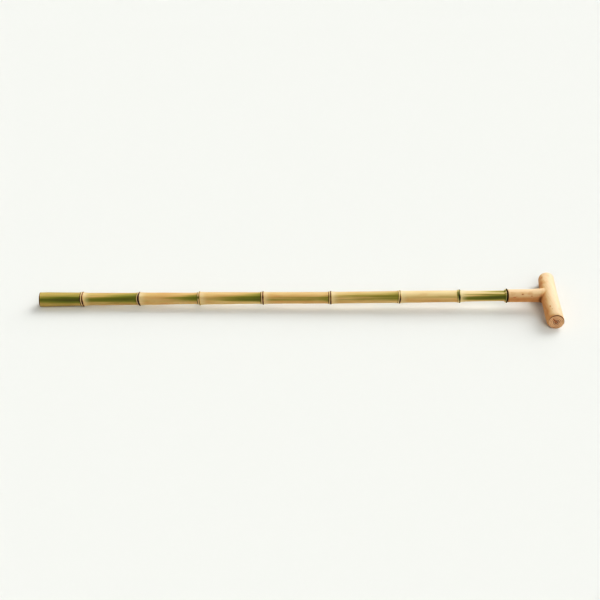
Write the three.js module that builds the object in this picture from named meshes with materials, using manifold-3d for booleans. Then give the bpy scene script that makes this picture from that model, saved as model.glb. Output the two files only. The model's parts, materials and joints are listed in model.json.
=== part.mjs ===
// Bamboo walking cane with a T handle of peeled branch wood, lying at rest on a flat surface.
// Millimetres, +Z up. The cane lies along X: foot at the -X end, handle at the +X end.
// The origin is on the surface, under the middle of the cane.

import * as THREE from 'three';
import { mergeVertices } from 'three/addons/utils/BufferGeometryUtils.js';
import Module from 'manifold-3d';

const wasm = await Module();
wasm.setup();

const GAP = 0.3; // between pieces that touch
const ROUND_SEGMENTS = 32;

// Culm. "along" is the distance from the foot's cut face. A node's radius is over its crest,
// and its sway is how far the culm's axis wanders sideways there.
const CULM_NODES = [
  { along: 74.8, radius: 13.1, sway: 0 },
  { along: 172.1, radius: 12.6, sway: -0.3 },
  { along: 277.2, radius: 12.6, sway: -0.4 },
  { along: 387.3, radius: 12.3, sway: -0.9 },
  { along: 504.7, radius: 12.3, sway: -1.8 },
  { along: 624.6, radius: 12.1, sway: -1 },
  { along: 727.7, radius: 12, sway: -0.2 },
];
const INTERNODE_RADII = [12.1, 10.8, 10.5, 10.5, 10.2, 10.4, 10.3, 9.4]; // at each one's middle
const CULM_LENGTH = 810; // foot to the shoulder under the collar

const FOOT_RADIUS = 12.7;
const FOOT_BEVEL = 0.8;
const HOLLOW_RADIUS = 5.4; // the first internode's own hollow, open at the foot
const HOLLOW_DEPTH = 66;

// The culm's top swells to a shoulder, and a tenon goes on into the handle.
const SHOULDER_RADIUS = 12;
const SHOULDER_LENGTH = 14;
const TENON_RADIUS = 8;
const TENON_LENGTH = 28;

const COLLAR_THICKNESS = 1.8;
const COLLAR_RADIUS = 12.6;
const COLLAR_BEVEL = 0.5;

// Handle, grown as one piece: a neck that swells into an arched crossbar. The thicker, near arm is at -Y.
const NECK_START = CULM_LENGTH + COLLAR_THICKNESS + 2 * GAP;
const NECK_RADIUS = 11.4;
const NECK_BEVEL = 0.6;
const SOCKET_RADIUS = TENON_RADIUS + GAP;
const SOCKET_DEPTH = TENON_LENGTH - COLLAR_THICKNESS;
const CROSSBAR_AT = 883.8; // foot to the crossbar's axis
const NEAR_LENGTH = 67; // from the neck's axis to the arm's cut end
const NEAR_RADIUS = 15.6;
const FAR_LENGTH = 71;
const FAR_RADIUS = 13.9;
const MIDDLE_RADIUS = 14.6;
const ARCH_RISE = 10.5; // of the crossbar's middle over its ends
const SWEEP = 3.8; // of its ends away from the foot

// Profile of a node: distance along the culm, and height from the internode's skin (0) to the crest (1).
const NODE_PROFILE = [
  [-14, 0],
  [-5, 0.3],
  [-2.6, 0.38],
  [-1.3, 0.9], // ridge
  [0, 0.5],
  [1.2, 1], // scar of the leaf sheath
  [2.2, 0.45],
  [12, 0],
];
// Swelling of the neck towards the crossbar: distance from its axis, and added radius.
const NECK_FLARE = [[-36, 0], [-28, 0.6], [-22, 1.9], [-18, 3.7], [-15, 6], [-8, 6.5]];
const FLARE_FLATTENING = 0.26; // keeps the flare below the crossbar's top
// Worn edge of a crossbar end: distance in from the cut, and in from the arm's radius.
const WORN_EDGE = [[0, 2.6], [0.9, 1.3], [3, 0.3], [7, 0]];
const ARM_STEPS = [0.2, 0.4, 0.6, 0.75]; // where the arch bends, as shares of an arm

const bamboo = new THREE.MeshStandardMaterial({ color: 0xa8964b, roughness: 0.42, metalness: 0 });
const darkWood = new THREE.MeshStandardMaterial({ color: 0x3a2315, roughness: 0.5, metalness: 0 });
const peeledWood = new THREE.MeshStandardMaterial({ color: 0xe3bd83, roughness: 0.6, metalness: 0 });

const { lerp, smoothstep } = THREE.MathUtils;

// Value at x of a list of [x, value] pairs, eased from each pair to the next.
function easedThrough(pairs, x) {
  const next = pairs.findIndex(([at]) => at > x);
  if (next === 0) return pairs[0][1];
  if (next < 0) return pairs.at(-1)[1];
  const [[fromX, from], [toX, to]] = [pairs[next - 1], pairs[next]];
  return lerp(from, to, smoothstep(x, fromX, toX));
}

// Solid of revolution about the X axis. Its [along, radius] pairs start and end on the axis.
function turned(outline) {
  const points = outline.map(([along, radius]) => new THREE.Vector2(radius, along));
  return new THREE.LatheGeometry(points, ROUND_SEGMENTS).rotateZ(-Math.PI / 2);
}

// Positions only, with the vertices that faces share merged.
function closed(geometry) {
  geometry.deleteAttribute('normal');
  geometry.deleteAttribute('uv');
  return mergeVertices(geometry, 1e-3);
}

function toSolid(geometry) {
  const merged = closed(geometry);
  return new wasm.Manifold(new wasm.Mesh({
    numProp: 3,
    vertProperties: new Float32Array(merged.attributes.position.array),
    triVerts: new Uint32Array(merged.index.array),
  }));
}

function toGeometry(solid) {
  const { vertProperties, triVerts } = solid.getMesh();
  const geometry = new THREE.BufferGeometry();
  geometry.setAttribute('position', new THREE.BufferAttribute(vertProperties, 3));
  geometry.setIndex(new THREE.BufferAttribute(triVerts, 1));
  geometry.computeVertexNormals();
  return geometry;
}

function namedMesh(name, geometry, material) {
  const mesh = new THREE.Mesh(geometry, material);
  mesh.name = name;
  return mesh;
}

// Lets change(vertex) move each vertex.
function reshape(geometry, change) {
  const { position } = geometry.attributes;
  const vertex = new THREE.Vector3();
  for (let i = 0; i < position.count; i += 1) {
    change(vertex.fromBufferAttribute(position, i));
    position.setXYZ(i, vertex.x, vertex.y, vertex.z);
  }
  return geometry;
}

// The culm's skin between foot and shoulder: slim internodes, and at each node a ridge and a scar.
function culmSkin() {
  const ends = [0, ...CULM_NODES.map((node) => node.along), CULM_LENGTH];
  const middles = INTERNODE_RADII.map((radius, i) => [(ends[i] + ends[i + 1]) / 2, radius]);
  const rings = CULM_NODES.map((node) => NODE_PROFILE.map(([from, rise]) => {
    const along = node.along + from;
    return [along, lerp(easedThrough(middles, along), node.radius, rise)];
  }));
  return middles.flatMap((middle, i) => [middle, ...(rings[i] ?? [])]);
}

function bambooShaft() {
  const culm = turned([
    [HOLLOW_DEPTH, 0],
    [HOLLOW_DEPTH, HOLLOW_RADIUS],
    [0, HOLLOW_RADIUS],
    [0, FOOT_RADIUS - FOOT_BEVEL],
    [FOOT_BEVEL, FOOT_RADIUS],
    ...culmSkin(),
    [CULM_LENGTH - SHOULDER_LENGTH, INTERNODE_RADII.at(-1)],
    [CULM_LENGTH - SHOULDER_LENGTH / 5, SHOULDER_RADIUS - 0.4],
    [CULM_LENGTH, SHOULDER_RADIUS],
    [CULM_LENGTH, TENON_RADIUS],
    [CULM_LENGTH + TENON_LENGTH, TENON_RADIUS],
    [CULM_LENGTH + TENON_LENGTH, 0],
  ]);
  const sways = [[0, 0], ...CULM_NODES.map((node) => [node.along, node.sway]), [CULM_LENGTH, 0]];
  reshape(culm, (vertex) => {
    vertex.y += easedThrough(sways, vertex.x);
  });
  return namedMesh('bamboo_shaft', closed(culm), bamboo);
}

function jointCollar() {
  const from = CULM_LENGTH + GAP;
  const to = from + COLLAR_THICKNESS;
  const ring = turned([
    [from, SOCKET_RADIUS],
    [from, COLLAR_RADIUS - COLLAR_BEVEL],
    [from + COLLAR_BEVEL, COLLAR_RADIUS],
    [to - COLLAR_BEVEL, COLLAR_RADIUS],
    [to, COLLAR_RADIUS - COLLAR_BEVEL],
    [to, SOCKET_RADIUS],
    [from, SOCKET_RADIUS],
  ]);
  return namedMesh('joint_collar', closed(ring), darkWood);
}

// Both arms in one, square to the neck and sawn off by upright cuts.
function crossbar() {
  const bar = turned([
    [-FAR_LENGTH, 0],
    ...WORN_EDGE.map(([inward, under]) => [-FAR_LENGTH + inward, FAR_RADIUS - under]),
    ...ARM_STEPS.map((share) => [-FAR_LENGTH * share, lerp(MIDDLE_RADIUS, FAR_RADIUS, share)]).reverse(),
    [0, MIDDLE_RADIUS],
    ...ARM_STEPS.map((share) => [NEAR_LENGTH * share, lerp(MIDDLE_RADIUS, NEAR_RADIUS, share)]),
    ...WORN_EDGE.map(([inward, under]) => [NEAR_LENGTH - inward, NEAR_RADIUS - under]).reverse(),
    [NEAR_LENGTH, 0],
  ]);
  reshape(bar, (vertex) => {
    const bend = (vertex.x / (vertex.x > 0 ? NEAR_LENGTH : FAR_LENGTH)) ** 2;
    vertex.y += SWEEP * bend;
    vertex.z -= ARCH_RISE * bend;
  });
  bar.rotateZ(-Math.PI / 2);
  // The near arm is thicker, so the bar is tipped up at that end until both ends touch the surface.
  bar.rotateX(-Math.asin((NEAR_RADIUS - FAR_RADIUS) / (NEAR_LENGTH + FAR_LENGTH)));
  return bar.translate(CROSSBAR_AT, 0, 0);
}

function neck() {
  const flaring = turned([
    [NECK_START, 0],
    [NECK_START, NECK_RADIUS - NECK_BEVEL],
    [NECK_START + NECK_BEVEL, NECK_RADIUS],
    ...NECK_FLARE.map(([from, extra]) => [CROSSBAR_AT + from, NECK_RADIUS + extra]),
    [CROSSBAR_AT, 0],
  ]);
  return reshape(flaring, (vertex) => {
    const share = easedThrough([[-26, 0], [-14, 1]], vertex.x - CROSSBAR_AT);
    vertex.z *= 1 - FLARE_FLATTENING * share;
  });
}

function tHandle() {
  const socket = turned([
    [NECK_START - 1, 0],
    [NECK_START - 1, SOCKET_RADIUS],
    [NECK_START + SOCKET_DEPTH, SOCKET_RADIUS],
    [NECK_START + SOCKET_DEPTH, 0],
  ]);
  const branch = toSolid(crossbar()).add(toSolid(neck())).subtract(toSolid(socket));
  return namedMesh('t_handle', toGeometry(branch), peeledWood);
}

// Lowers the cane onto the surface, where it rests on the foot's rim and on both arms,
// and centres it over the origin.
function layDown(shaft, collar, handle) {
  const cane = new THREE.Group().add(shaft, collar, handle);
  const lowest = (piece) => new THREE.Box3().setFromObject(piece, true).min.z;
  cane.rotation.y = Math.atan2(lowest(handle) + FOOT_RADIUS, CROSSBAR_AT - FOOT_BEVEL);
  const middle = new THREE.Box3().setFromObject(cane, true).getCenter(new THREE.Vector3());
  cane.position.set(-middle.x, -middle.y, -lowest(cane));
  return cane;
}

export default layDown(bambooShaft(), jointCollar(), tHandle());
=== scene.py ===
# Bamboo walking cane with a T handle of peeled branch wood, lying on a pale studio floor
import json
import math
import bpy
import numpy as np
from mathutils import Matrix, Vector, noise

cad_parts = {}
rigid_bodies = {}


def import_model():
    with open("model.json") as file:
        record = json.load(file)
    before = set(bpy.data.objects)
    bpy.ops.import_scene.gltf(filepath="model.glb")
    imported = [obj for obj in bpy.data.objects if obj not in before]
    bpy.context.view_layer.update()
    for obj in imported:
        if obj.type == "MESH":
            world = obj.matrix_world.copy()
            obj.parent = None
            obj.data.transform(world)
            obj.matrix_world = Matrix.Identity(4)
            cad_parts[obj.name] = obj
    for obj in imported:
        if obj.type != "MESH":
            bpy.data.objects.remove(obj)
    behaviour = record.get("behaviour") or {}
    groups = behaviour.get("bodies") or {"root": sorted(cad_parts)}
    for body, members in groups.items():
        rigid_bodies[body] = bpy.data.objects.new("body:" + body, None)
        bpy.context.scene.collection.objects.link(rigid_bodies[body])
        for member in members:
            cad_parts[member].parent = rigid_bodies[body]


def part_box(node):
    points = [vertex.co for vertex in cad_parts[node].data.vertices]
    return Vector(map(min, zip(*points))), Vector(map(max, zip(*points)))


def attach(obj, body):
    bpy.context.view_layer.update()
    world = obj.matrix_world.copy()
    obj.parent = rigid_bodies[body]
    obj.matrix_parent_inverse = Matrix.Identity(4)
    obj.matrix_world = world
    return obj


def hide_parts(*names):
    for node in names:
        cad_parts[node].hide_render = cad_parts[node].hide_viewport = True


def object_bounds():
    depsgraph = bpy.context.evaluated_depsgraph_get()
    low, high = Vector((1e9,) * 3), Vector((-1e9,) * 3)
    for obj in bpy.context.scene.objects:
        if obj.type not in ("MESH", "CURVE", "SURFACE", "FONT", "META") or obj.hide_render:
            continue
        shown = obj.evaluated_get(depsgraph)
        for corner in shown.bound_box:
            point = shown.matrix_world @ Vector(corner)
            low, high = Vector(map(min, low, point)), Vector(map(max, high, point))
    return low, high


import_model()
cadLow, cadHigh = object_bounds()
millimetre = 0.001

# Lengths below are in millimetres, along the cane from its cut foot. Angles are in degrees,
# round the cane from the side that faces the camera (0) over the top (90) and the back (180).


def smooth(low, high, x):
    share = np.clip((x - low) / (high - low), 0, 1)
    return share * share * (3 - 2 * share)


def plateau(x, start, full, fading, end):
    # 0 outside start and end, 1 from full to fading
    return smooth(start, full, x) * (1 - smooth(fading, end, x))


def bell(x, width):
    return np.exp(-((x / width) ** 2))


def angleFrom(angle, centre):
    return (angle - centre + 180) % 360 - 180


def smoothPath(x, places, values):
    # eased from each value to the next
    result = np.full(x.shape, float(values[-1]))
    for k in range(len(places) - 2, -1, -1):
        eased = values[k] + (values[k + 1] - values[k]) * smooth(places[k], places[k + 1], x)
        result = np.where(x < places[k + 1], eased, result)
    return result


def roughness(points, size, seed, stretch=(1, 1, 1)):
    # smooth noise from -1 to 1 at each point, with lumps about as big as size
    scaled = points / (size * np.array(stretch, float)) + seed * 17.3
    return np.array([noise.noise(point) for point in scaled])


cameraSet = {
    "elevation": 34,
    "distance": 2.895,
    "lens": 100,
    "sensor": 36,
    "aim": (0.0007, -0.0022, 0.0132),
    "roll": 0.15,
    "farClip": 50,
}


def makeCamera():
    data = bpy.data.cameras.new("camera")
    data.lens = cameraSet["lens"]
    data.sensor_width = cameraSet["sensor"]
    data.clip_end = cameraSet["farClip"]
    camera = bpy.data.objects.new("camera", data)
    bpy.context.scene.collection.objects.link(camera)
    tilt = math.radians(cameraSet["elevation"])
    back = Vector((0, -math.cos(tilt), math.sin(tilt)))
    camera.location = Vector(cameraSet["aim"]) + back * cameraSet["distance"]
    camera.rotation_euler = (-back).to_track_quat("-Z", "Y").to_euler()
    camera.rotation_euler.rotate_axis("Z", math.radians(cameraSet["roll"]))
    bpy.context.scene.camera = camera
    print("camera ready")


makeCamera()

joint = {
    "from": 810.4,
    "thickness": 1.6,
    "radius": 12.6,
    "innerRadius": 8.3,
    "round": 0.8,  # of the ring's outer edges
    "flat": 1.5,  # width of its sides beside the rounding
    "unevenness": 0.12,
    "around": 96,
    "bend": 1.7,  # how far the cut at the joint curves back over the top and underneath
    "bendFades": (3, 16),  # away from the ring
    "cadMiddle": 811.2,  # of the ring in the frame
}
culm = {
    "footRadius": 12.7,
    "footRim": 1.28,  # how far the cut edge's rounding goes up the culm
    "footRound": 1.3,  # and how far in
    "footDark": (0.7, 2.2),  # the painted shade on that edge, full up to the first and gone at the second
    "hollowRadius": 5.4,
    "hollowDepth": 66,
    "length": 810,
    "shoulderRadius": 12,
    "shoulderSwells": (4.5, 0.6),  # from the top, where it starts and where it is full
    # painted highlight on the shoulder's lip, from the top, where it starts and where it is full
    "shoulderHighlight": (2.4, 0.9),
    "tenonRadius": 8,
    "tenonLength": 28,
    "around": 144,
    "fineStep": 0.22,  # between rows of points, up to fineReach from a node or an end
    "fineReach": 4,
    "stepGrowth": 0.16,
    "coarseStep": 3,
    "flutes": {"height": 0.05, "size": 3.2, "seed": 3},
    "lumps": {"height": 0.12, "size": 14, "seed": 5},
    "underside": (20, -50),  # where the painted shade on an internode's underside starts and where it is full
    # radius at the lower and the upper end of each internode
    "internodes": [(12.6, 11.6), (10.9, 10.6), (10.9, 10.0), (10.8, 10.2), (10.3, 10.1), (10.2, 10.5),
                   (10.5, 10.2), (9.5, 9.2)],
}

# the cane lies on its foot's rim and slopes up to the ring at the joint
collarLow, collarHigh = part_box("joint_collar")
collarCentre = (collarLow + collarHigh) / 2
footToCollar = joint["cadMiddle"] * millimetre
pitch = math.asin((collarCentre.z - cadLow.z - culm["footRadius"] * millimetre) / footToCollar)
alongCane = Vector((math.cos(pitch), 0, math.sin(pitch)))
aboveCane = Vector((-math.sin(pitch), 0, math.cos(pitch)))
foot = collarCentre - alongCane * footToCollar
facing = math.radians(cameraSet["elevation"])  # the camera's side, up from the horizontal


def bendJoint(points):
    # the culm was cut a little curved where it meets the handle
    acrossView = points[:, 1] * math.sin(facing) + points[:, 2] * math.cos(facing)
    away = np.abs(points[:, 0] - joint["from"] - joint["thickness"] / 2)
    fading = 1 - smooth(*joint["bendFades"], away)
    bent = points.copy()
    bent[:, 0] -= joint["bend"] * (acrossView / joint["radius"]) ** 2 * fading
    return bent


def toFrame(points):
    # (along, sideways, above) in millimetres to the frame's metres
    points = bendJoint(points)
    axes = np.array([alongCane, (0, 1, 0), aboveCane])
    placed = np.array(foot) + points @ axes * millimetre
    placed[:, 2] = np.maximum(placed[:, 2], cadLow.z)  # flattened where it touches the floor
    return placed


def makeMesh(name, points, faces, attributes=None):
    mesh = bpy.data.meshes.new(name)
    mesh.from_pydata(toFrame(points).tolist(), [], faces)
    for key, values in (attributes or {}).items():
        values = np.asarray(values, np.float32)
        kind = "FLOAT" if values.ndim == 1 else "FLOAT_VECTOR"
        field = "value" if values.ndim == 1 else "vector"
        mesh.attributes.new(key, kind, "POINT").data.foreach_set(field, values.ravel())
    mesh.polygons.foreach_set("use_smooth", [True] * len(mesh.polygons))
    mesh.validate()
    piece = bpy.data.objects.new(name, mesh)
    bpy.context.scene.collection.objects.link(piece)
    return piece


def ringFaces(rows, around):
    # quads between rings of vertices, each ring a row
    faces = []
    for row in range(rows - 1):
        for i in range(around):
            j = (i + 1) % around
            a, b = row * around, (row + 1) * around
            faces.append((a + i, a + j, b + j, b + i))
    return faces


def linear(red, green, blue):
    # a colour as a screen shows it, from 0 to 255, to the light it stands for
    channels = [c / 255 for c in (red, green, blue)]
    return [c / 12.92 if c <= 0.04045 else ((c + 0.055) / 1.055) ** 2.4 for c in channels] + [1]


class Value:
    # a socket's number, which adds Math nodes as it is used in an expression
    def __init__(self, shader, socket):
        self.shader = shader
        self.socket = socket

    def math(self, operation, *others):
        numbers = dict(enumerate([self, *others]))
        return self.shader.add("ShaderNodeMath", {"operation": operation}, numbers)

    def __add__(self, other):
        return self.math("ADD", other)

    def __mul__(self, other):
        return self.math("MULTIPLY", other)

    def __sub__(self, other):
        return self.math("SUBTRACT", other)

    def __rsub__(self, other):
        return (self * -1) + other

    __radd__ = __add__
    __rmul__ = __mul__

    def clamped(self):
        return self.math("MINIMUM", 1).math("MAXIMUM", 0)

    def between(self, low, high):
        # 0 at low and below, 1 at high and above
        settings = {"interpolation_type": "SMOOTHSTEP"}
        return self.shader.add("ShaderNodeMapRange", settings, {0: self, 1: low, 2: high})


class Shader:
    def __init__(self, name):
        self.material = bpy.data.materials.new(name)
        self.material.use_nodes = True
        self.tree = self.material.node_tree
        self.surface = self.tree.nodes["Principled BSDF"]

    def plug(self, node, sockets):
        for key, value in sockets.items():
            if isinstance(value, Value):
                self.tree.links.new(value.socket, node.inputs[key])
            else:
                node.inputs[key].default_value = value

    def add(self, kind, settings=None, sockets=None, output=0):
        node = self.tree.nodes.new(kind)
        for key, value in (settings or {}).items():
            setattr(node, key, value)
        self.plug(node, sockets or {})
        return Value(self, node.outputs[output])

    def attribute(self, name, output="Fac"):
        return self.add("ShaderNodeAttribute", {"attribute_name": name}, output=output)

    def vector(self, name):
        return self.attribute(name, "Vector")

    def stretched(self, vector, scale):
        return self.add("ShaderNodeVectorMath", {"operation": "MULTIPLY"}, {0: vector, 1: scale})

    def noise(self, vector, scale=1.0, detail=3, rough=0.5, distortion=0.0):
        sockets = {"Vector": vector, "Scale": scale, "Detail": detail, "Roughness": rough,
                   "Distortion": distortion}
        return self.add("ShaderNodeTexNoise", {}, sockets)

    def mix(self, factor, first, second):
        return self.add("ShaderNodeMix", {"data_type": "RGBA"}, {0: factor, 6: first, 7: second}, 2)

    def bump(self, height, distance):
        sockets = {"Height": height, "Distance": distance, "Strength": 1.0}
        return self.add("ShaderNodeBump", {}, sockets)

    def finish(self, **sockets):
        self.plug(self.surface, {key.replace("_", " "): value for key, value in sockets.items()})
        return self.material


studio = {
    "floorReach": 6,
    "floorColour": (0.765, 0.775, 0.737, 1),
    "skyLight": 0.3,
    # turn: from straight behind the cane, towards its handle. share: of the light on the floor.
    "lights": {
        "key": {"turn": 42, "elevation": 35, "softness": 50, "share": 0.49, "onto": "everything"},
        "floor fill": {"turn": 165, "elevation": 42, "softness": 45, "share": 0.31, "onto": "floor"},
        "top light": {"turn": -30, "elevation": 74, "softness": 55, "share": 0.27, "onto": "cane"},
        "front light": {"turn": 160, "elevation": 22, "softness": 60, "share": 0.055, "onto": "cane"},
    },
    "brightness": 1.11,
    # scene light, then how bright it comes out: only the darkest tones are deepened
    "contrast": [(0, 0), (0.05, 0.02), (0.1, 0.055), (0.2, 0.14), (0.35, 0.31), (0.5, 0.49), (1, 1)],
}


def makeFloor():
    reach = studio["floorReach"]
    corners = [(-reach, -reach, 0), (reach, -reach, 0), (reach, reach, 0), (-reach, reach, 0)]
    mesh = bpy.data.meshes.new("floor")
    mesh.from_pydata(corners, [], [(0, 1, 2, 3)])
    floor = bpy.data.objects.new("floor", mesh)
    floor.location.z = cadLow.z
    bpy.context.scene.collection.objects.link(floor)
    paper = Shader("studio paper")
    mesh.materials.append(paper.finish(Base_Color=studio["floorColour"], Roughness=1.0,
                                       Specular_IOR_Level=0.0))


def makeSky():
    world = bpy.data.worlds.new("studio")
    world.use_nodes = True
    sky = world.node_tree.nodes["Background"].inputs
    sky["Color"].default_value = (1, 1, 1, 1)
    sky["Strength"].default_value = studio["skyLight"] * studio["brightness"]
    bpy.context.scene.world = world


def limitTo(lamp, target):
    # lets a lamp reach only the floor, or only the cane's pieces
    lit = bpy.data.collections.new(lamp.name)
    for piece in bpy.data.objects:
        if piece.type == "MESH" and (piece.name == "floor") == (target == "floor"):
            lit.objects.link(piece)
    lamp.light_linking.receiver_collection = lit


def makeLights():
    for name, light in studio["lights"].items():
        elevation, turn = math.radians(light["elevation"]), math.radians(light["turn"])
        data = bpy.data.lights.new(name, "SUN")
        data.energy = studio["brightness"] * light["share"] * math.pi / math.sin(elevation)
        data.angle = math.radians(light["softness"])
        lamp = bpy.data.objects.new(name, data)
        level = math.cos(elevation)
        towards = Vector((level * math.sin(turn), level * math.cos(turn), math.sin(elevation)))
        lamp.rotation_euler = towards.to_track_quat("Z", "Y").to_euler()
        bpy.context.scene.collection.objects.link(lamp)
        if light["onto"] != "everything":
            limitTo(lamp, light["onto"])


def setContrast():
    view = bpy.context.scene.view_settings
    view.view_transform = "Standard"
    view.use_curve_mapping = True
    mapping = view.curve_mapping
    stops = studio["contrast"]
    curve = mapping.curves[3]  # the one for all three colours together
    while len(curve.points) < len(stops):
        curve.points.new(0.5, 0.5)
    for point, stop in zip(curve.points, stops):
        point.location = stop
    mapping.update()


makeFloor()
makeSky()
setContrast()
print("floor ready")

# Nodes. crest: radius over the ring. bow and tilt: how far the ring leaves its plane. ring: how dark it is
# all round, and thick: its half width. spots: darker stretches of it, as (angle, spread, darkness).
# scar: how dark the thin line below it is. moss: from brown (0) to green (1). eye: a green mark below the
# ring, as (angle, spread, strength). bud: where the dormant bud sits.
culmNodes = [
    {"along": 74.8, "crest": 13.2, "sway": 0, "bow": 0.9, "tilt": 0.5, "ring": 0.6, "thick": 0.6,
     "spots": [(-25, 18, 1), (85, 25, 0.75), (-75, 20, 0.7)],
     "scar": 0.8, "moss": 0, "eye": (0, 1, 0), "bud": 200},
    {"along": 172.1, "crest": 12.6, "sway": -0.3, "bow": 1.2, "tilt": 0.1, "ring": 0.72, "thick": 0.9,
     "spots": [(-18, 55, 1)],
     "scar": 0.25, "moss": 0.1, "eye": (40, 14, 0.5), "bud": 20},
    {"along": 277.2, "crest": 12.6, "sway": -0.4, "bow": 0.4, "tilt": 0.4, "ring": 0.48, "thick": 0.5,
     "spots": [(-82, 18, 0.9), (88, 16, 0.6)],
     "scar": 0.52, "moss": 0.7, "eye": (6, 14, 1), "bud": 12},
    {"along": 387.3, "crest": 12.3, "sway": -0.9, "bow": 0.1, "tilt": 0.1, "ring": 0.58, "thick": 0.65,
     "spots": [(3, 13, 1), (-72, 24, 1), (82, 18, 0.9)],
     "scar": 0.62, "moss": 0, "eye": (0, 1, 0), "bud": 170},
    {"along": 504.7, "crest": 12.3, "sway": -1.8, "bow": 0, "tilt": 0, "ring": 0.6, "thick": 0.62,
     "spots": [(-70, 36, 1), (82, 18, 0.9)],
     "scar": 0.56, "moss": 0.2, "eye": (0, 60, 0.25), "bud": 140},
    {"along": 624.6, "crest": 12.1, "sway": -1, "bow": -0.6, "tilt": -0.5, "ring": 0.24, "thick": 0.6,
     "spots": [(-38, 42, 1), (80, 25, 0.5)],
     "scar": 0.3, "moss": 0.35, "eye": (-10, 45, 0.35), "bud": -10},
    {"along": 727.7, "crest": 12, "sway": -0.2, "bow": 0.35, "tilt": 0.1, "ring": 0.3, "thick": 0.9,
     "spots": [(-12, 24, 1), (82, 18, 1), (-82, 16, 1)],
     "scar": 0.2, "moss": 0.9, "eye": (14, 48, 1), "bud": 8},
]

# What every node has, by distance along the culm from the node. Heights are shares of the way from the
# internode's skin to the crest, but the bud's is in millimetres.
nodeForm = {
    "swelling": {"below": 5, "above": 8.5, "height": 0.42},
    "lip": {"at": -1.9, "width": 0.6, "height": 0.26},
    "ring": {"at": 0.7, "width": 1.0, "height": 0.58},
    "bud": {"at": 4, "length": 4, "spread": 13, "height": 0.5},
    "crestRoom": 0.12,  # left for the culm's waviness
    "bentUpTo": (6, 26),  # where bow and tilt start to fade and where they end
    "darkAt": 0.6,
    "scarAt": -2.9,
    "scarWidth": 0.62,
    "mossUpTo": (4, 6),
    "eyeAt": -1.6,
    "eyeLength": 2.2,
    # start, full, fading and end of the pale painted highlight on the sheath lip below the ring, of the pale
    # bloom above it, and of the stretch with little green
    "paintedLipHighlight": (-2.6, -1.6, -1.4, -0.6),
    "bloom": (1.8, 3, 3, 16),
    "bare": (-2.6, -1.9, 2, 9),
    "bloomStrength": 0.75,
}

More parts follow.
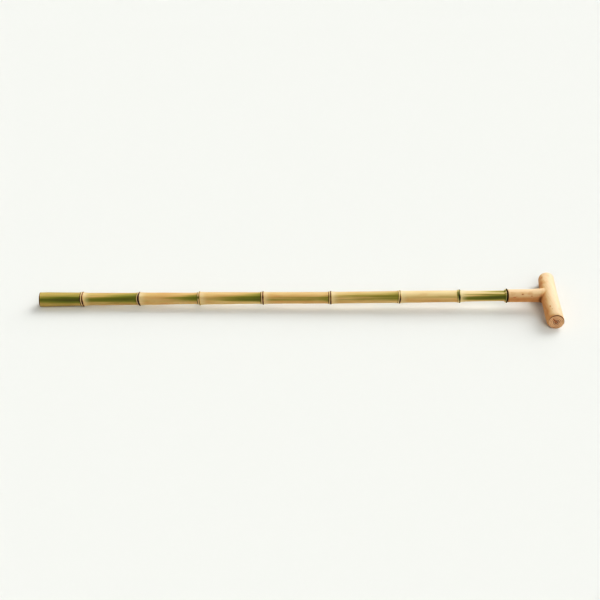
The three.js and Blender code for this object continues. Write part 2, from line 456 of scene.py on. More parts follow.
# Internodes. warmth: from cream (0) to tan (1); painted shade adds to it on the underside, and makes that
# side paler where its amount is negative. tint: green all over. Each stripe of green starts narrow and faint
# at one end and grows: from and to are shares of the internode, at is the stripe's middle, narrow and wide
# its half widths in degrees, green its strength.
internodeLooks = [
    {"warmth": 0.9, "paintedShade": 0, "tint": 0.32,
     "stripes": [{"from": -0.9, "to": 0.6, "at": -5, "narrow": 8, "wide": 20, "green": 1},
                 {"from": -0.2, "to": 1.1, "at": 12, "narrow": 10, "wide": 34, "green": 0.2},
                 {"from": 0.1, "to": 1.1, "at": 178, "narrow": 14, "wide": 50, "green": 0.5}]},
    {"warmth": 0.75, "paintedShade": 0, "tint": 0.2,
     "stripes": [{"from": -0.7, "to": 0.75, "at": -8, "narrow": 13, "wide": 26, "green": 0.9},
                 {"from": 0.35, "to": 1.05, "at": 28, "narrow": 16, "wide": 34, "green": 0.6},
                 {"from": 0.4, "to": 1.1, "at": 185, "narrow": 10, "wide": 60, "green": 0.8}]},
    {"warmth": 0.85, "paintedShade": -0.25, "tint": 0.08,
     "stripes": [{"from": 0.3, "to": 1.0, "at": 4, "narrow": 9, "wide": 24, "green": 0.9},
                 # painted shade: a faint band along the core shadow below the camera's side
                 {"from": -0.6, "to": 0.9, "at": -17, "narrow": 14, "wide": 19, "green": 0.36},
                 {"from": 0.7, "to": 1.05, "at": 30, "narrow": 6, "wide": 26, "green": 0.35},
                 {"from": 0.3, "to": 1.0, "at": 205, "narrow": 8, "wide": 30, "green": 0.6}]},
    {"warmth": 0.75, "paintedShade": -0.3, "tint": 0.08,
     "stripes": [{"from": 0.0, "to": 1.05, "at": 0, "narrow": 12, "wide": 36, "green": 0.85},
                 # painted shade: a faint band along the core shadow below the camera's side
                 {"from": -0.4, "to": 1.0, "at": -17, "narrow": 13, "wide": 22, "green": 0.55},
                 {"from": 0.55, "to": 1.05, "at": 45, "narrow": 10, "wide": 26, "green": 0.5},
                 {"from": 0.6, "to": 1.0, "at": 165, "narrow": 10, "wide": 40, "green": 0.7}]},
    {"warmth": 0.72, "paintedShade": 0, "tint": 0.03,
     "stripes": [{"from": -0.3, "to": 1.2, "at": 2, "narrow": 14, "wide": 18, "green": 0.3},
                 # painted shade: a faint band along the core shadow below the camera's side
                 {"from": -2, "to": 0.2, "at": -18, "narrow": 12, "wide": 18, "green": 0.34},
                 {"from": 0.8, "to": 1.05, "at": -10, "narrow": 18, "wide": 60, "green": 0.35},
                 {"from": 0.7, "to": 1.1, "at": 190, "narrow": 8, "wide": 30, "green": 0.5}]},
    {"warmth": 0.4, "paintedShade": 0.15, "tint": 0.1,
     "stripes": [{"from": -0.2, "to": 1.0, "at": 13, "narrow": 16, "wide": 36, "green": 0.62},
                 # painted shade: a faint band along the core shadow below the camera's side
                 {"from": -0.8, "to": 1.0, "at": -17, "narrow": 12, "wide": 20, "green": 0.28},
                 {"from": 0.5, "to": 1.0, "at": 215, "narrow": 8, "wide": 40, "green": 0.6}]},
    {"warmth": 0.05, "paintedShade": 0.8, "tint": 0.02,
     # the first stripe here is painted shade, a faint band along the core shadow below the camera's side
     "stripes": [{"from": -1, "to": 1, "at": -8, "narrow": 14, "wide": 20, "green": 0.26},
                 {"from": 0.85, "to": 1.1, "at": 30, "narrow": 18, "wide": 40, "green": 0.3},
                 {"from": 0.6, "to": 1.2, "at": 150, "narrow": 8, "wide": 30, "green": 0.4}]},
    {"warmth": 0, "paintedShade": 0.45, "tint": 0.05,
     "stripes": [{"from": -0.7, "to": 0.7, "at": -24, "narrow": 14, "wide": 27, "green": 1},
                 {"from": 0.25, "to": 1.1, "at": -2, "narrow": 6, "wide": 11, "green": 0.85},
                 # the cream line left bare just above this stripe, round 25 degrees, is a painted highlight
                 {"from": -0.4, "to": 0.6, "at": 17, "narrow": 4, "wide": 6, "green": 0.7},
                 {"from": 0.1, "to": 1.0, "at": 54, "narrow": 10, "wide": 16, "green": 0.75},
                 {"from": 0.4, "to": 1.0, "at": 185, "narrow": 10, "wide": 60, "green": 0.9}]},
]


def culmEnds():
    # where each internode starts and ends
    return [0] + [node["along"] for node in culmNodes] + [culm["length"]]


def culmStations():
    # close together at the nodes and at both ends, further apart between them
    places = [0.0]
    while places[-1] < culm["length"]:
        away = min(abs(places[-1] - place) for place in culmEnds())
        step = culm["fineStep"] + max(away - culm["fineReach"], 0) * culm["stepGrowth"]
        places.append(places[-1] + min(step, culm["coarseStep"]))
    places[-1] = culm["length"]
    return np.array(places)


def stripeGreen(stripe, share, angle):
    grown = np.clip((share - stripe["from"]) / (stripe["to"] - stripe["from"]), 0, 1)
    halfWidth = stripe["narrow"] + (stripe["wide"] - stripe["narrow"]) * grown
    return bell(angleFrom(angle, stripe["at"]), halfWidth) * grown * stripe["green"]


def internodeSkin(along, angle):
    # radius, warmth with the underside's painted shade, and green, before the nodes are added
    radius, warmth, green = np.zeros((3, *along.shape))
    # painted shade mask: 0 on the camera's side and above, 1 on the underside
    paintedShadeMask = smooth(*culm["underside"], angleFrom(angle, 0))
    ends = culmEnds()
    for i, (low, high) in enumerate(culm["internodes"]):
        look = internodeLooks[i]
        inside = (along >= ends[i]) & (along <= ends[i + 1])
        share = (along - ends[i]) / (ends[i + 1] - ends[i])
        radius = np.where(inside, low + (high - low) * smooth(0, 1, share), radius)
        warmth = np.where(inside, look["warmth"] + look["paintedShade"] * paintedShadeMask, warmth)
        green = np.where(inside, look["tint"], green)
        for stripe in look["stripes"]:
            strip = stripeGreen(stripe, share, angle)
            green = np.where(inside, green + strip * (1 - green), green)
    return radius, warmth, green


def nodeRadius(node, away, angle, radius):
    # the radius with the node's swelling, the lip of its leaf sheath, its ring and its bud
    height = node["crest"] - nodeForm["crestRoom"] - radius[np.abs(away).min(1).argmin(), 0]
    swelling, lip, ring, bud = [nodeForm[part] for part in ("swelling", "lip", "ring", "bud")]
    swollen = np.where(away < 0, bell(away, swelling["below"]), bell(away, swelling["above"]))
    radius = radius + height * (swelling["height"] * swollen
                                + lip["height"] * bell(away - lip["at"], lip["width"])
                                + ring["height"] * bell(away - ring["at"], ring["width"]))
    budSpread = bell(angleFrom(angle, node["bud"]), bud["spread"])
    return radius + bud["height"] * budSpread * bell(away - bud["at"], bud["length"])


def nodeShift(node, away, angle):
    # how far bow and tilt move the node's skin along the culm
    turned = np.radians(angle)
    fading = 1 - smooth(*nodeForm["bentUpTo"], np.abs(away))
    return fading * (-node["bow"] * np.cos(2 * turned) - node["tilt"] * np.sin(turned))


def colourNode(node, away, angle, fields):
    darkness = node["ring"] + 0 * angle
    for at, spread, darkest in node["spots"]:
        spot = node["ring"] + (darkest - node["ring"]) * bell(angleFrom(angle, at), spread)
        darkness = np.maximum(darkness, spot)
    ring = darkness * bell(away - nodeForm["darkAt"], node["thick"] * (0.9 + 0.7 * darkness))
    scar = node["scar"] * bell(away - nodeForm["scarAt"], nodeForm["scarWidth"])
    fields["dark"] = np.maximum(np.maximum(fields["dark"], ring), scar)
    moss = node["moss"] * (1 - smooth(*nodeForm["mossUpTo"], np.abs(away)))
    fields["moss"] = np.maximum(fields["moss"], moss)
    # painted highlight on the sheath lip below the ring; the bloom above it is real wax
    paintedLipHighlight = plateau(away, *nodeForm["paintedLipHighlight"])
    bloom = plateau(away, *nodeForm["bloom"]) * nodeForm["bloomStrength"]
    pale = np.maximum(np.maximum(fields["pale"], paintedLipHighlight), bloom)
    # little green at the node itself, but for its eye
    bare = plateau(away, *nodeForm["bare"])
    green = fields["green"] * (1 - (0.9 - 0.3 * node["moss"]) * bare)
    at, spread, strength = node["eye"]
    eyeAlong = bell(away - nodeForm["eyeAt"], nodeForm["eyeLength"])
    eye = strength * bell(angleFrom(angle, at), spread) * eyeAlong
    fields["green"] = np.maximum(green, eye)
    fields["pale"] = np.where(np.abs(away) < 6, pale * (1 - 0.9 * eye), pale)


def culmSkin(along, angle):
    # radius, shift along the culm and the colour fields of every point of the skin
    radius, warmth, green = internodeSkin(along, angle)
    shift, dark, moss, pale = np.zeros((4, *along.shape))
    fields = {"green": green, "dark": dark, "moss": moss, "pale": pale, "warmth": warmth}
    for node in culmNodes:
        away = along - node["along"]
        radius = nodeRadius(node, away, angle, radius)
        shift = shift + nodeShift(node, away, angle)
        colourNode(node, away, angle, fields)
    # the top swells to a shoulder under the ring at the joint
    fromTop = culm["length"] - along
    swollen = smooth(*culm["shoulderSwells"], fromTop) * 0.92
    radius += (culm["shoulderRadius"] - 0.1 - radius) * swollen
    # painted highlight on the shoulder's lip under the joint ring
    fields["pale"] = np.maximum(fields["pale"], smooth(*culm["shoulderHighlight"], fromTop) * 0.55)
    # rounded rim at the foot, with painted shade darkening its edge
    intoRim = np.clip(culm["footRim"] - along, 0, None) / culm["footRim"]
    radius -= culm["footRound"] * intoRim ** 2
    fields["dark"] = np.maximum(fields["dark"], 0.5 * (1 - smooth(*culm["footDark"], along)))
    return radius, shift, fields


def culmWaviness(along, angle):
    # long flutes and slight lumps that keep the culm from looking turned
    turned = np.radians(angle)
    points = np.stack([along / 9, np.cos(turned) * 11, np.sin(turned) * 11], -1).reshape(-1, 3)
    flutes, lumps = culm["flutes"], culm["lumps"]
    fluted = roughness(points, flutes["size"], flutes["seed"]).reshape(along.shape)
    lumpy = roughness(points, lumps["size"], lumps["seed"], (0.5, 1, 1)).reshape(along.shape)
    return flutes["height"] * fluted + lumps["height"] * lumpy


def hollowRows(footRadius):
    # (along, radius) of the hollow from its closed end outwards, and of the cut face
    hollow, depth = culm["hollowRadius"], culm["hollowDepth"]
    rows = [(depth + 0.8, 0.4), (depth + 0.6, hollow * 0.5), (depth, hollow * 0.85), (depth - 1.5, hollow)]
    rows += [(place, hollow) for place in np.linspace(depth - 4, 1.2, 16)]
    rows += [(0.35, hollow + 0.05), (0, hollow + 0.4)]
    return rows + [(0, radius) for radius in np.linspace(hollow + 0.8, footRadius - 0.5, 7)]


def tenonRows():
    # (along, radius) of the shoulder's flat top and the tenon
    tenon, top = culm["tenonRadius"], culm["length"]
    end = top + culm["tenonLength"]
    rows = [(top, culm["shoulderRadius"] - 0.5), (top, tenon + 1.5), (top, tenon)]
    rows += [(place, tenon) for place in np.linspace(top + 1, end - 0.8, 8)]
    return rows + [(end, tenon - 0.8), (end, 0.4)]


def makeCulm():
    around = culm["around"]
    angles = np.arange(around) * 360 / around
    along, angle = np.meshgrid(culmStations(), angles, indexing="ij")
    radius, shift, fields = culmSkin(along, angle)
    away = np.min([np.abs(along - node["along"]) for node in culmNodes], axis=0)
    calm = smooth(0, 5, away) * smooth(0, 6, along) * smooth(0, 10, culm["length"] - along)
    radius += culmWaviness(along, angle) * (0.4 + 0.6 * calm) - 0.05

    # rows of the hollow and the cut face come before the skin, the shoulder and the tenon after it
    inner, outer = hollowRows(radius[0].mean()), tenonRows()

    def withEnds(skin, part):
        ends = [np.repeat([[row[part]] for row in rows], around, 1) for rows in (inner, outer)]
        return np.concatenate([ends[0], skin, ends[1]])

    allAlong, allRadius = withEnds(along + shift, 0), withEnds(radius, 1)
    rows = len(allAlong)
    # angle 0 faces the camera and 90 is over the top
    section = np.radians(np.repeat([angles], rows, 0))
    sideways = math.sin(facing) * np.sin(section) - math.cos(facing) * np.cos(section)
    above = math.sin(facing) * np.cos(section) + math.cos(facing) * np.sin(section)
    sway = smoothPath(allAlong, culmEnds(), [0] + [node["sway"] for node in culmNodes] + [0])
    points = np.stack([allAlong, sway + sideways * allRadius, above * allRadius], -1).reshape(-1, 3)
    attributes = {"grain": np.stack([allAlong, sideways * allRadius, above * allRadius], -1).reshape(-1, 3)}
    for name, values in fields.items():
        attributes[name] = np.pad(values, ((len(inner), len(outer)), (0, 0))).ravel()

    ends = [list(range(around))[::-1], [(rows - 1) * around + i for i in range(around)]]
    piece = makeMesh("bamboo_culm", points, ringFaces(rows, around) + ends, attributes)
    piece.data.materials.append(bambooSkin())
    piece.data.materials.append(bambooCut())
    isCut = np.zeros(len(piece.data.polygons), np.int32)
    isCut[: (len(inner) - 1) * around] = 1
    isCut[(rows - len(outer)) * around:] = 1
    piece.data.polygons.foreach_set("material_index", isCut)
    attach(piece, "root")
    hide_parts("bamboo_shaft")
    print("culm ready,", len(piece.data.vertices), "vertices")


bambooColours = {
    "cream": linear(235, 208, 152),
    "tan": linear(210, 165, 102),
    "flush": linear(218, 160, 112),
    "olive": linear(166, 152, 68),
    "leaf": linear(125, 128, 28),
    "deep": linear(96, 98, 0),
    "pale": linear(230, 214, 168),
    "brown": linear(122, 70, 38),
    "dark": linear(34, 16, 8),
    "moss": linear(122, 116, 52),
    "mossDark": linear(28, 38, 8),
    "cutLight": linear(216, 184, 130),
    "cutDark": linear(176, 138, 84),
    "bundle": linear(110, 72, 38),
}


def bambooSkin():
    shader = Shader("bamboo skin")
    colours = bambooColours
    grain = shader.vector("grain")
    fibres = shader.noise(shader.stretched(grain, (0.02, 1.6, 1.6)), 1, 4, 0.6)
    streaks = shader.noise(shader.stretched(grain, (0.007, 0.32, 0.32)), 1, 3, 0.6)
    patches = shader.noise(shader.stretched(grain, (0.03, 0.12, 0.12)), 1, 2)
    warmth = (shader.attribute("warmth") + (patches - 0.5) * 0.9 + (streaks - 0.5) * 0.8).clamped()
    ripe = shader.mix(warmth, colours["cream"], colours["tan"])
    ripe = shader.mix(patches.between(0.56, 0.75) * 0.4, ripe, colours["flush"])
    green = shader.attribute("green")
    green = (green + (streaks - 0.5) * 0.9 * green.between(0, 0.35) + (fibres - 0.5) * 0.12).clamped()
    skin = shader.mix(green.between(0.05, 0.5), ripe, colours["olive"])
    skin = shader.mix(green.between(0.35, 0.75), skin, colours["leaf"])
    skin = shader.mix(green.between(0.65, 1.0), skin, colours["deep"])
    # the pale colour: real wax bloom above each node, and painted highlight on each sheath lip and on the
    # shoulder under the joint ring
    skin = shader.mix(shader.attribute("pale") * 0.7, skin, colours["pale"])
    skin = shader.mix(fibres.between(0.58, 0.78) * 0.16, skin, colours["brown"])
    dark = shader.attribute("dark")
    edge = dark + (streaks - 0.5) * 0.4 * dark.between(0, 0.3)
    moss = shader.attribute("moss")
    rim = shader.mix(moss, colours["brown"], colours["moss"])
    core = shader.mix(moss, colours["dark"], colours["mossDark"])
    skin = shader.mix(edge.between(0.08, 0.32), skin, rim)
    skin = shader.mix(edge.between(0.34, 0.7), skin, core)
    height = fibres * 0.6 + streaks * 0.4
    return shader.finish(Base_Color=skin, Roughness=(0.36 + streaks * 0.16), Coat_Weight=0.15,
                         Coat_Roughness=0.25, Specular_IOR_Level=0.45,
                         Normal=shader.bump(height, 0.00006))


def bambooCut():
    # the culm's wall, dotted with the cut ends of its fibre bundles
    shader = Shader("bamboo cut")
    colours = bambooColours
    grain = shader.vector("grain")
    dots = {"Vector": shader.stretched(grain, (0.2, 1, 1)), "Scale": 1.5}
    bundles = shader.add("ShaderNodeTexVoronoi", {}, dots)
    soft = shader.noise(shader.stretched(grain, (0.1, 1, 1)), 0.6, 3)
    wall = shader.mix(soft, colours["cutLight"], colours["cutDark"])
    wall = shader.mix((1 - bundles.between(0.12, 0.34)) * 0.8, wall, colours["bundle"])
    return shader.finish(Base_Color=wall, Roughness=0.75, Normal=shader.bump(bundles, 0.0001))


makeCulm()

handle = {
    "start": 812.4,
    "neckRadius": 11.4,
    "neckGrowth": 1.3,  # the neck gains this much towards the crossbar
    "neckEdge": 0.6,  # worn off its edge at the joint
    "crossbarAt": 883.8,
    # the arms, with how far the worn edge moves the middle of each cut face away from the foot
    "near": {"length": 67, "radius": 15.6, "faceShift": 1.6},
    "far": {"length": 71, "radius": 13.9, "faceShift": -0.4},
    "middleRadius": 14.6,
    "archRise": 10.5,
    "sweep": 3.8,
    "fillet": (1.4, 6.5),  # above and below the neck
    "socketRadius": 8.3,
    "socketDepth": 25,
    "fineness": 0.55,
    "sides": 48,
    "ringWidth": 2.9,
    "wornEdge": 2.2,
    "wornReach": 1.7,
    "flats": {"height": 0.16, "size": 7, "seed": 8, "stretch": (4, 1, 1)},  # broad, from whittling
    "unevenness": {"height": 0.07, "size": 3, "seed": 9, "stretch": (7, 1, 1)},
    "smoothedOff": 0.01,  # all over
    "sawMarks": 0.05,
    # on the cut faces. The pith's at is how far it is from the middle, away from the foot and up. The
    # crack starts at the pith, and its reach is where it starts, is full, fades and ends
    "pith": {"at": (1.0, -1.2), "radius": 1.3, "depth": 0.35, "dark": 0.6},
    "crack": {"turn": 128, "width": 0.6, "widens": 0.06, "reach": (0, 1.5, 8, 11), "depth": 0.7,
              "dark": 0.75},
}

# on: neck or crossbar. place: along it, from the joint or towards the near end. at: round the neck from
# the camera's side over the top, or round the crossbar from its top towards the foot. size, proud and pit
# are in millimetres, and stretch is how much longer than wide it is.
knots = [
    {"on": "neck", "place": 24.5, "at": 10, "size": 1.3, "stretch": 1.7,
     "proud": 0.2, "pit": 0.35, "dark": 0.9},
    {"on": "neck", "place": 10.5, "at": -17, "size": 1.5, "stretch": 3.6,
     "proud": 0.25, "pit": 0.15, "dark": 0.55},
    {"on": "neck", "place": 40, "at": -6, "size": 1.3, "stretch": 1.4,
     "proud": 0.1, "pit": 0.2, "dark": 0.6},
    {"on": "neck", "place": 31, "at": 160, "size": 2, "stretch": 1.5,
     "proud": 0.3, "pit": 0.3, "dark": 0.8},
    {"on": "crossbar", "place": 47, "at": 25, "size": 1.7, "stretch": 2,
     "proud": 0.2, "pit": 0.3, "dark": 0.8},
    {"on": "crossbar", "place": 54, "at": 16, "size": 1.2, "stretch": 1.2,
     "proud": 0.1, "pit": 0.2, "dark": 0.75},
    {"on": "crossbar", "place": -48, "at": 46, "size": 7, "stretch": 1.6,
     "proud": 0.3, "pit": 0, "dark": 0.46},
    {"on": "crossbar", "place": -44, "at": 88, "size": 2.4, "stretch": 2,
     "proud": 0.2, "pit": 0.2, "dark": 0.85},
    {"on": "crossbar", "place": -28, "at": -120, "size": 2.2, "stretch": 1.5,
     "proud": 0.3, "pit": 0.3, "dark": 0.8},
    {"on": "crossbar", "place": 46, "at": 150, "size": 1.8, "stretch": 1.5,
     "proud": 0.2, "pit": 0.25, "dark": 0.7},
]
# Of every knot, as shares of its size: the widths of its swelling, its pit, its dark heart and the halo
# round that. haloDark is a share of its darkness.
knotForm = {"swelling": 1.6, "pit": 0.5, "heart": 0.62, "halo": 1.5, "haloDark": 0.35}


def armValue(along, name):
    # of the near arm where along is positive, and of the far arm elsewhere
    return np.where(along > 0, handle["near"][name], handle["far"][name])


def crossbarTip():
    # the near arm is thicker, so that end is tipped up until both ends touch the floor
    near, far = handle["near"], handle["far"]
    return math.asin((near["radius"] - far["radius"]) / (near["length"] + far["length"]))


def crossbarPlace(points):
    # distance towards the near end, then sideways and up from the arched axis
    tip = crossbarTip()
    along = -(points[:, 1] * math.cos(tip) - points[:, 2] * math.sin(tip))
    above = points[:, 1] * math.sin(tip) + points[:, 2] * math.cos(tip)
    share = along / armValue(along, "length")
    outward = points[:, 0] - handle["crossbarAt"] - handle["sweep"] * share ** 2
    return along, outward, above + handle["archRise"] * share ** 2


def fromCrossbar(along, outward, above):
    # the point at a place that crossbarPlace gives
    tip = crossbarTip()
    share = along / armValue(along, "length")
    x = handle["crossbarAt"] + handle["sweep"] * share ** 2 + outward
    y = -along + 0 * above
    z = -handle["archRise"] * share ** 2 + above
    return np.stack([x, y * math.cos(tip) + z * math.sin(tip), z * math.cos(tip) - y * math.sin(tip)], -1)


def crossbarRadius(along):
    share = np.abs(along / armValue(along, "length"))
    return handle["middleRadius"] + (armValue(along, "radius") - handle["middleRadius"]) * share


def crossbarSurface(points):
    along, outward, above = crossbarPlace(points)
    fromEnd = armValue(along, "length") - np.abs(along)
    worn = np.exp(-np.clip(fromEnd, 0, None) / handle["wornReach"])
    away = np.hypot(outward - armValue(along, "faceShift") * worn, above)
    return np.maximum(away - (crossbarRadius(along) - handle["wornEdge"] * worn), -fromEnd)


def neckSurface(points):
    fromStart = points[:, 0] - handle["start"]
    reach = handle["crossbarAt"] - handle["start"]
    radius = handle["neckRadius"] + handle["neckGrowth"] * smooth(0.45, 0.95, fromStart / reach)
    radius = radius - handle["neckEdge"] * np.exp(-np.clip(fromStart, 0, None) / 0.5)
    away = np.hypot(points[:, 1], points[:, 2])
    return np.maximum(np.maximum(away - radius, -fromStart), fromStart - reach)


def underneath(points, high, low):
    # 0 over high and 1 under low, with the camera's side lower than the back
    return smooth(high, low, points[:, 2] + 0.5 * points[:, 1])


def handleSurface(points):
    # distance outside the fork's skin, with the neck blended into the crossbar
    bar, neck = crossbarSurface(points), neckSurface(points)
    high, low = handle["fillet"]
    fillet = high + (low - high) * underneath(points, 6, -8)
    blend = np.clip(fillet - np.abs(bar - neck), 0, None)
    return np.minimum(bar, neck) - blend ** 2 / (4 * fillet)


def surfaceSlope(field, points, step=0.05):
    slope = np.zeros_like(points)
    for axis in range(3):
        move = np.zeros(3)
        move[axis] = step
        slope[:, axis] = (field(points + move) - field(points - move)) / (2 * step)
    return slope


def roughTubes():
    # two overlapping tubes along the crossbar and the neck
    points, faces = [], []

    def addTube(rings):
        start = len(points)
        for ring in rings:
            points.extend(ring)
        around = len(rings[0])
        faces.extend([tuple(start + k for k in face) for face in ringFaces(len(rings), around)])
        faces.append(tuple(start + k for k in range(around))[::-1])
        faces.append(tuple(start + (len(rings) - 1) * around + k for k in range(around)))

    turns = np.linspace(0, 2 * math.pi, handle["sides"], endpoint=False)
    barPlaces = np.linspace(-handle["far"]["length"], handle["near"]["length"], 60)
    addTube([fromCrossbar(place, crossbarRadius(place) * np.cos(turns), crossbarRadius(place) * np.sin(turns))
             for place in barPlaces])
    y, z = handle["neckRadius"] * np.sin(turns), handle["neckRadius"] * np.cos(turns)
    addTube([np.stack([place + 0 * turns, y, z], -1)
             for place in np.linspace(handle["start"], handle["crossbarAt"], 30)])
    return points, faces


def roughHandle():
    # the tubes joined into one skin of even small faces
    points, faces = roughTubes()
    mesh = bpy.data.meshes.new("rough handle")
    mesh.from_pydata(np.array(points).tolist(), [], faces)
    rough = bpy.data.objects.new("rough handle", mesh)
    bpy.context.scene.collection.objects.link(rough)
    remesh = rough.modifiers.new("even", "REMESH")
    remesh.mode = "VOXEL"
    remesh.voxel_size = handle["fineness"]
    made = rough.evaluated_get(bpy.context.evaluated_depsgraph_get()).to_mesh()
    points = np.zeros(len(made.vertices) * 3)
    made.vertices.foreach_get("co", points)
    faces = [tuple(face.vertices) for face in made.polygons]
    bpy.data.objects.remove(rough)
    return points.reshape(-1, 3), faces


def smoothHandle():
    # the rough skin's points moved onto the fork's own surface, and the surface's direction at each
    points, faces = roughHandle()
    for _ in range(4):
        slope = surfaceSlope(handleSurface, points)
        size = np.clip((slope ** 2).sum(1), 0.3, None)
        points = points - slope * np.clip(handleSurface(points) / size, -0.6, 0.6)[:, None]
    slope = surfaceSlope(handleSurface, points)
    return points, faces, slope / np.linalg.norm(slope, axis=1)[:, None]


def knotFields(barAlong, outward, above, points, onNeck):
    # how dark each point is, and how far knots lift or sink it
    axisPlace = np.where(onNeck > 0.5, points[:, 0] - handle["start"], barAlong)
    neckTurn = np.degrees(np.arctan2(points[:, 2], -points[:, 1])) - cameraSet["elevation"]
    barTurn = 90 - np.degrees(np.arctan2(above, -outward))
    turn = np.where(onNeck > 0.5, neckTurn, barTurn)
    dark, lift = np.zeros((2, len(points)))
    form = knotForm
    for knot in knots:
        belongs = onNeck if knot["on"] == "neck" else 1 - onNeck
        radius = handle["neckRadius"] if knot["on"] == "neck" else handle["middleRadius"]
        along = (axisPlace - knot["place"]) / knot["stretch"]
        across = np.radians(angleFrom(turn, knot["at"])) * radius
        away, size = np.hypot(along, across), knot["size"]
        lift += belongs * knot["proud"] * bell(away, size * form["swelling"])
        lift -= belongs * knot["pit"] * bell(away, size * form["pit"])
        dark = np.maximum(dark, belongs * knot["dark"] * bell(away, size * form["heart"]))
        dark = np.maximum(dark, belongs * knot["dark"] * form["haloDark"] * bell(away, size * form["halo"]))
    return dark, lift


def cutFields(barAlong, outward, above, barGrain):
    # how much each point is on a cut face, its distance from the pith, and there how dark the crack and
    # the pith are and how far they and the saw marks lift or sink it
    nearFace, farFace = [smooth(handle[arm]["length"] - 0.25, handle[arm]["length"] - 0.05, side * barAlong)
                         for arm, side in (("near", 1), ("far", -1))]
    cut = np.maximum(nearFace, farFace)
    pith, crack = handle["pith"], handle["crack"]
    fromPithX, fromPithZ = outward - pith["at"][0], above - pith["at"][1]
    ring = np.hypot(fromPithX, fromPithZ) + 0.5 * roughness(barGrain, 6, 4, (40, 1, 1))
    turn = math.radians(crack["turn"])
    along = fromPithX * math.cos(turn) + fromPithZ * math.sin(turn)
    across = fromPithZ * math.cos(turn) - fromPithX * math.sin(turn) + 0.35 * np.sin(along * 0.9)
    width = crack["width"] + crack["widens"] * along
    cracked = nearFace * bell(across, width) * plateau(along, *crack["reach"])
    pithy = cut * bell(np.hypot(fromPithX, fromPithZ), pith["radius"])
    dark = np.maximum(crack["dark"] * cracked, pith["dark"] * pithy)
    sawn = handle["sawMarks"] * np.sin(ring * 2 * math.pi / handle["ringWidth"]) - 0.03
    return cut, ring, dark, cut * sawn - crack["depth"] * cracked - pith["depth"] * pithy


def makeHandle():
    points, faces, normal = smoothHandle()
    barAlong, outward, above = crossbarPlace(points)
    onNeck = smooth(-1.5, 3.5, crossbarSurface(points))
    barGrain = np.stack([barAlong, outward, above], -1)
    grain = barGrain + (points - barGrain) * onNeck[:, None]
    cut, ring, cutDark, cutLift = cutFields(barAlong, outward, above, barGrain)
    knotDark, lift = knotFields(barAlong, outward, above, points, onNeck)
    lift = lift * (1 - cut) + cutLift
    for lumps in (handle["flats"], handle["unevenness"]):
        lift += lumps["height"] * (roughness(grain, lumps["size"], lumps["seed"], lumps["stretch"]) - 1)
    points = points + normal * (lift - handle["smoothedOff"])[:, None]
    # painted shade: honey coloured where the surface faces away from the light, underneath and towards the
    # foot, and darker still in the crease at the neck; cream on top, where it faces the light
    honey = smooth(0.7, 0.0, normal @ np.array([0.5, 0.0, 0.87]))
    paintedCreaseShade = bell(crossbarSurface(points) - neckSurface(points) - 1, 4)
    honey += paintedCreaseShade * (0.35 + 0.65 * underneath(points, 10, -4))

    piece = makeMesh("branch_handle", points, faces,
                     {"grain": grain, "knot": np.maximum(knotDark, cutDark), "cut": cut, "ring": ring,
                      "honey": honey})
    boreSocket(piece)
    piece.data.materials.append(peeledWood())
    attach(piece, "root")
    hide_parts("t_handle")
    print("handle ready,", len(piece.data.vertices), "vertices")


def boreSocket(piece):
    # the blind hole that takes the culm's tenon
    turns = np.linspace(0, 2 * math.pi, handle["sides"], endpoint=False)
    radius, depth = handle["socketRadius"], handle["socketDepth"]
    rings = [(-1, radius), (depth - 1, radius), (depth, radius - 1)]
    points = [(handle["start"] + place, r * math.cos(turn), r * math.sin(turn))
              for place, r in rings for turn in turns]
    faces = ringFaces(len(rings), len(turns))
    faces.append(tuple(range(len(turns)))[::-1])
    faces.append(tuple((len(rings) - 1) * len(turns) + k for k in range(len(turns))))
    drill = makeMesh("drill", np.array(points), faces)
    cutting = piece.modifiers.new("socket", "BOOLEAN")
    cutting.operation = "DIFFERENCE"
    cutting.object = drill
    bored = bpy.data.meshes.new_from_object(piece.evaluated_get(bpy.context.evaluated_depsgraph_get()))
    piece.modifiers.clear()
    piece.data = bored
    bpy.data.objects.remove(drill)


woodColours = {
    "cream": linear(236, 203, 160),
    # this tone paints the shade on the handle's underside and in its crease, as well as the wood's own honey
    # streaks
    "honey": linear(212, 160, 104),
    "rust": linear(196, 122, 68),
    "umber": linear(150, 98, 52),
    "knot": linear(92, 46, 20),
    "endLight": linear(240, 196, 154),
    "endDark": linear(142, 100, 74),
    "endRim": linear(112, 70, 42),
}


def peeledWood():
    shader = Shader("peeled wood")
    colours = woodColours
    grain = shader.vector("grain")
    fibres = shader.noise(shader.stretched(grain, (0.05, 1.5, 1.5)), 1, 5, 0.6)
    bands = shader.noise(shader.stretched(grain, (0.012, 0.22, 0.22)), 1, 3, 0.55, 0.3)
    blotches = shader.noise(shader.stretched(grain, (0.05, 0.09, 0.09)), 1, 3)
    # painted shade of the underside and crease, mixed with the wood's real bands and blotches; umber paints
    # the deepest shade, in the crease
    honey = shader.attribute("honey") + (bands - 0.5) * 1.3 + (blotches - 0.5) * 0.5
    wood = shader.mix(honey.clamped(), colours["cream"], colours["honey"])
    wood = shader.mix(honey.between(0.9, 1.9), wood, colours["umber"])
    wood = shader.mix(blotches.between(0.55, 0.75) * 0.3, wood, colours["rust"])
    wood = shader.mix(fibres.between(0.5, 0.75) * 0.2, wood, colours["rust"])
    cut = shader.attribute("cut")
    wood = shader.mix(cut, wood, sawnEnd(shader, grain))
    knot = shader.attribute("knot")
    knot = knot + (fibres - 0.5) * 0.3 * knot.between(0, 0.2)
    wood = shader.mix(knot.between(0.05, 0.45) * 0.8, wood, colours["rust"])
    wood = shader.mix(knot.between(0.45, 0.85), wood, colours["knot"])
    return shader.finish(Base_Color=wood, Roughness=(0.5 + bands * 0.12 + cut * 0.2),
                         Specular_IOR_Level=0.4, Normal=shader.bump(fibres * 0.7 + bands * 0.3, 0.00008))


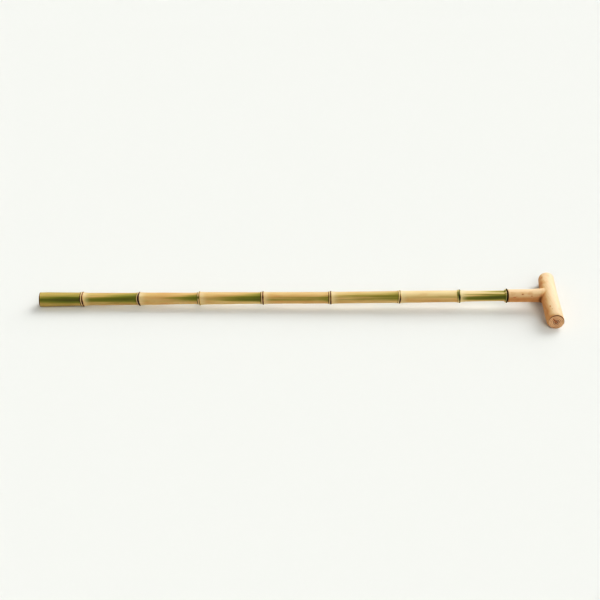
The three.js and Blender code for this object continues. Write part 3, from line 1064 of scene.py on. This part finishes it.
def sawnEnd(shader, grain):
    # growth rings, rays and stains of a cut face, darker at its rim
    colours = woodColours
    ring = shader.attribute("ring")
    rings = (ring * (2 * math.pi / handle["ringWidth"])).math("SINE") * 0.5 + 0.5
    rays = shader.noise(shader.stretched(grain, (0.1, 1.2, 1.2)), 1, 4, 0.6)
    stain = shader.noise(shader.stretched(grain, (0.1, 0.16, 0.16)), 1, 2)
    grey = rings * 0.3 + rays * 0.3 + stain * 0.4 + (ring.between(0, 9) - 0.6) * 0.3
    end = shader.mix(grey.between(0.25, 0.75), colours["endDark"], colours["endLight"])
    return shader.mix(ring.between(12.2, 13.6), end, colours["endRim"])


makeHandle()


def collarSection():
    # (along, radius) round the ring's section, from the bore over the rounded outside to the bore
    half = joint["thickness"] / 2
    edge = joint["radius"] - joint["round"]
    section = [(-half, joint["innerRadius"]), (-half, edge - joint["flat"])]
    for turn in np.radians(np.linspace(-90, 90, 13)):
        reach = half - joint["round"] * (1 - abs(math.sin(turn)))
        section.append((reach * np.sign(turn), edge + joint["round"] * math.cos(turn)))
    return section + [(half, edge - joint["flat"]), (half, joint["innerRadius"])]


def makeCollar():
    around = joint["around"]
    section = collarSection()
    rows = len(section)
    middle = joint["from"] + joint["thickness"] / 2
    points = np.array([(middle + place, radius * math.cos(angle), radius * math.sin(angle))
                       for place, radius in section
                       for angle in np.linspace(0, 2 * math.pi, around, endpoint=False)])
    away = np.hypot(points[:, 1], points[:, 2])
    outer = smooth(joint["innerRadius"], joint["radius"] - 1, away)
    lumps = roughness(points, 3.5, 21, (0.6, 1, 1)) - 1
    spokes = points[:, 1:] / away[:, None]
    points[:, 1:] += spokes * (joint["unevenness"] * outer * lumps)[:, None]
    faces = [tuple(reversed(face)) for face in ringFaces(rows, around)]
    last = (rows - 1) * around
    faces += [(last + i, last + (i + 1) % around, (i + 1) % around, i) for i in range(around)]
    piece = makeMesh("dark_ring", points, faces, {"grain": points})
    piece.data.materials.append(darkRing())
    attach(piece, "root")
    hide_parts("joint_collar")
    print("dark ring ready")


ringColours = {
    "burnt": linear(32, 13, 6),
    "worn": linear(74, 36, 18),
}


def darkRing():
    shader = Shader("dark ring")
    grain = shader.vector("grain")
    worn = shader.noise(shader.stretched(grain, (0.5, 0.5, 0.5)), 1, 4)
    colour = shader.mix(worn.between(0.45, 0.75), ringColours["burnt"], ringColours["worn"])
    return shader.finish(Base_Color=colour, Roughness=(0.6 + worn * 0.25), Specular_IOR_Level=0.08,
                         Normal=shader.bump(worn, 0.0001))


makeCollar()
makeLights()
print("lights ready")
